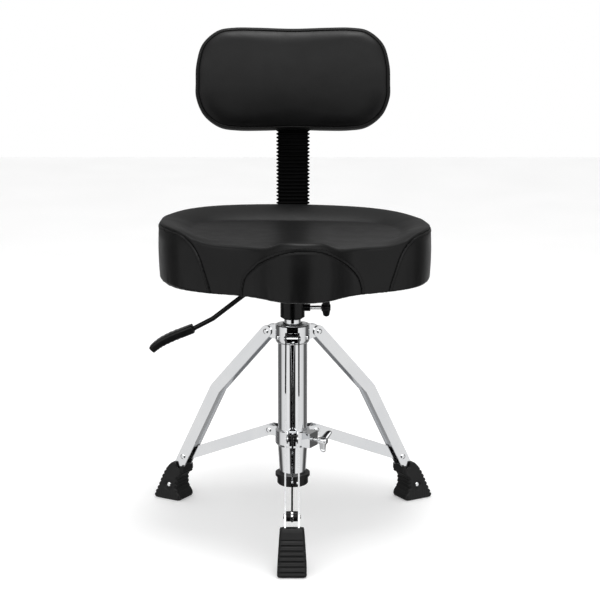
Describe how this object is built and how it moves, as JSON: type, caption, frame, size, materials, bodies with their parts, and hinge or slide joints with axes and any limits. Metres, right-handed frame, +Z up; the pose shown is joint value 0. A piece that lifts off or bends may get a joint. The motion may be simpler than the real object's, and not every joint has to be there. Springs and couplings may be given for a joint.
{
  "type": "drum throne",
  "caption": "Height-adjustable drum throne: padded saddle seat on a gas-lift column with a folding tripod base and a reclined padded backrest on a sliding bar.",
  "frame": {"origin": "on the floor under the axis of the column, midway between the feet", "axes": "+Z up, -Y to the front where the saddle's nose points, +X to the sitter's left"},
  "size_m": [0.5042, 0.5623, 0.8369],
  "materials": {
    "chrome": "polished",
    "plain_steel": "satin",
    "black_metal": "satin",
    "black_plastic": "satin",
    "rubber": "matte",
    "leather": "satin",
    "foam": "matte",
    "plywood": "matte"
  },
  "bodies": {
    "base": {"column_tube": "chrome", "leg_hub": "chrome", "hub_rivets": "chrome", "hub_screws": "chrome", "guide_bush": "black_plastic", "column_cap": "black_plastic", "cap_screw": "chrome", "lower_race": "plain_steel"},
    "bearing": {"bearing_balls": "plain_steel", "bearing_cage": "black_plastic"},
    "piston": {"upper_race": "plain_steel", "piston_rod": "plain_steel", "rod_clip": "plain_steel", "piston": "plain_steel"},
    "seat": {"gas_cylinder": "chrome", "rod_guide": "black_plastic", "valve_body": "plain_steel", "cone_socket": "black_metal", "mounting_plate": "black_metal", "plate_screws": "plain_steel", "lever_pin": "plain_steel", "bar_guide": "black_metal", "seat_board": "plywood", "seat_foam": "foam", "seat_cover": "leather"},
    "release": {"release_pin": "plain_steel"},
    "lever": {"lever_rod": "black_metal", "lever_grip": "black_plastic"},
    "seat_wing": {"seat_wing_bolt": "black_metal"},
    "guide_clamp": {"guide_knob": "black_plastic"},
    "backrest_bar": {"back_bar": "black_metal", "bellows": "rubber"},
    "backrest_pad": {"pad_carriage": "black_metal", "pad_screws": "plain_steel", "pad_board": "plywood", "pad_foam": "foam", "pad_cover": "leather"},
    "pad_clamp": {"pad_knob": "black_plastic"},
    "sliding_collar": {"collar": "chrome", "collar_rivets": "chrome", "collar_spacers": "black_plastic"},
    "collar_wing": {"collar_wing_bolt": "chrome"},
    "front_leg": {"front_leg_bars": "chrome", "front_brace_pin": "chrome", "front_brace_bushes": "black_plastic", "front_foot": "rubber", "front_foot_bolt": "chrome"},
    "front_brace": {"front_brace": "chrome"},
    "right_leg": {"right_leg_bars": "chrome", "right_brace_pin": "chrome", "right_brace_bushes": "black_plastic", "right_foot": "rubber", "right_foot_bolt": "chrome"},
    "right_brace": {"right_brace": "chrome"},
    "left_leg": {"left_leg_bars": "chrome", "left_brace_pin": "chrome", "left_brace_bushes": "black_plastic", "left_foot": "rubber", "left_foot_bolt": "chrome"},
    "left_brace": {"left_brace": "chrome"}
  },
  "joints": [
    {"name": "seat_swivel", "type": "hinge", "parent": "base", "child": "piston", "pos_m": [0, 0, 0.085], "axis": [0, 0, 1], "continuous": true},
    {"name": "bearing_turn", "type": "hinge", "parent": "base", "child": "bearing", "pos_m": [0, 0, 0.083], "axis": [0, 0, 1], "continuous": true},
    {"name": "seat_lift", "type": "slide", "parent": "piston", "child": "seat", "axis": [0, 0, 1], "range_m": [0, 0.12]},
    {"name": "lever_pull", "type": "hinge", "parent": "seat", "child": "lever", "pos_m": [-0.034, 0, 0.405], "axis": [0, 1, 0], "range_deg": [0, 4.5], "stiffness_Nm_per_rad": 1.5, "springref_deg": -5.73},
    {"name": "pin_press", "type": "slide", "parent": "seat", "child": "release", "axis": [0, 0, -1], "range_m": [0, 0.0027]},
    {"name": "seat_wing_turn", "type": "hinge", "parent": "seat", "child": "seat_wing", "pos_m": [0.05, 0, 0.373], "axis": [1, 0, 0], "range_deg": [0, 360]},
    {"name": "guide_knob_turn", "type": "hinge", "parent": "seat", "child": "guide_clamp", "pos_m": [0, 0.072, 0.39], "axis": [0, 0, -1], "range_deg": [0, 360]},
    {"name": "bar_depth", "type": "slide", "parent": "seat", "child": "backrest_bar", "axis": [0, 1, 0], "range_m": [0, 0.04]},
    {"name": "pad_height", "type": "slide", "parent": "backrest_bar", "child": "backrest_pad", "axis": [0, 0.1392, 0.9903], "range_m": [-0.05, 0], "deforming": ["bellows"]},
    {"name": "pad_knob_turn", "type": "hinge", "parent": "backrest_pad", "child": "pad_clamp", "pos_m": [0, 0.26833, 0.7166], "axis": [0, 0.9903, -0.1392], "range_deg": [0, 360]},
    {"name": "collar_slide", "type": "slide", "parent": "base", "child": "sliding_collar", "axis": [0, 0, 1], "range_m": [0, 0.05704]},
    {"name": "collar_wing_turn", "type": "hinge", "parent": "sliding_collar", "child": "collar_wing", "pos_m": [0.05196, -0.03, 0.149], "axis": [0.866, -0.5, 0], "range_deg": [0, 360]},
    {"name": "front_leg_fold", "type": "hinge", "parent": "base", "child": "front_leg", "pos_m": [0, -0.0456, 0.3292], "axis": [1, 0, 0], "range_deg": [0, 22.05]},
    {"name": "front_brace_swing", "type": "hinge", "parent": "sliding_collar", "child": "front_brace", "pos_m": [0, -0.0419, 0.1559], "axis": [1, 0, 0], "range_deg": [0, 45.35]},
    {"name": "right_leg_fold", "type": "hinge", "parent": "base", "child": "right_leg", "pos_m": [0.03949, 0.0228, 0.3292], "axis": [-0.5, 0.866, 0], "range_deg": [0, 22.05]},
    {"name": "right_brace_swing", "type": "hinge", "parent": "sliding_collar", "child": "right_brace", "pos_m": [0.03629, 0.02095, 0.1559], "axis": [-0.5, 0.866, 0], "range_deg": [0, 45.35]},
    {"name": "left_leg_fold", "type": "hinge", "parent": "base", "child": "left_leg", "pos_m": [-0.03949, 0.0228, 0.3292], "axis": [-0.5, -0.866, 0], "range_deg": [0, 22.05]},
    {"name": "left_brace_swing", "type": "hinge", "parent": "sliding_collar", "child": "left_brace", "pos_m": [-0.03629, 0.02095, 0.1559], "axis": [-0.5, -0.866, 0], "range_deg": [0, 45.35]}
  ],
  "couplings": [
    {"joint": "pin_press", "follows": "lever_pull", "m_per_rad": 0.034},
    {"joint": "front_leg_fold", "follows": "collar_slide", "rad_per_m": 6.7316},
    {"joint": "front_brace_swing", "follows": "collar_slide", "rad_per_m": 13.861},
    {"joint": "right_leg_fold", "follows": "collar_slide", "rad_per_m": 6.7316},
    {"joint": "right_brace_swing", "follows": "collar_slide", "rad_per_m": 13.861},
    {"joint": "left_leg_fold", "follows": "collar_slide", "rad_per_m": 6.7316},
    {"joint": "left_brace_swing", "follows": "collar_slide", "rad_per_m": 13.861}
  ]
}
